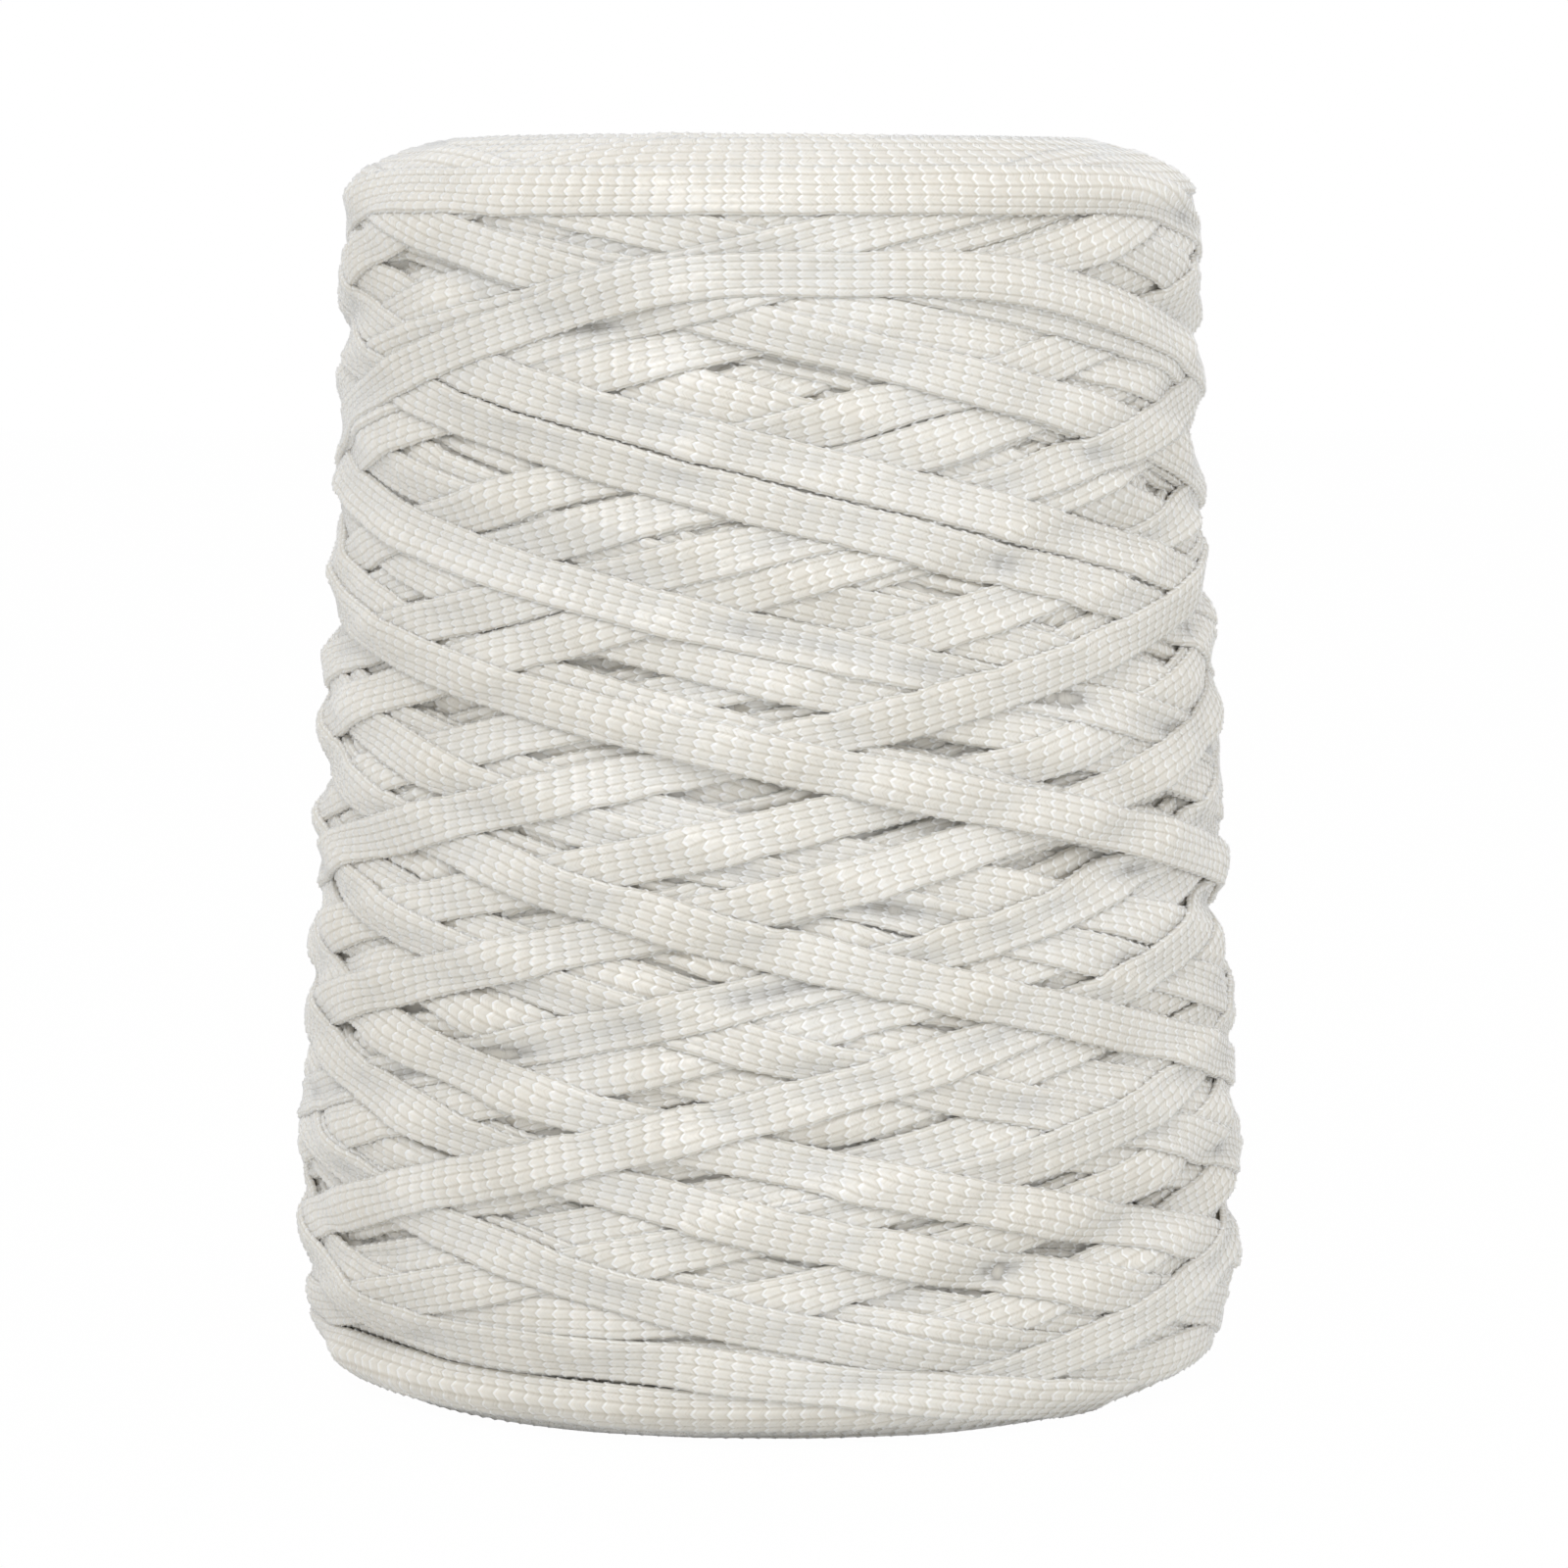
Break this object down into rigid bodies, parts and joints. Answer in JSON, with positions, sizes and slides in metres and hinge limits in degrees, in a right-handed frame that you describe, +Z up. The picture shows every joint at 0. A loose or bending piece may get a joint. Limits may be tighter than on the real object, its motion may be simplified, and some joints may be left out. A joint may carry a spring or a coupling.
{
  "type": "string reel",
  "caption": "Reel of flat knitted cord, cross-wound without flanges on a plain cardboard tube with an open bore; it stands on its base or sits on a spindle.",
  "frame": {"origin": "middle of the reel's base, on the surface that it stands on", "axes": "+Z up along the tube, the narrower end at the top; -Y is the side that the picture shows"},
  "size_m": [0.1034, 0.1036, 0.1345],
  "materials": {
    "cardboard": "matt",
    "knitted_cord": "matt"
  },
  "bodies": {
    "root": {"winding_tube": "cardboard", "wound_body": "knitted_cord", "outer_winding": "knitted_cord"}
  },
  "joints": []
}
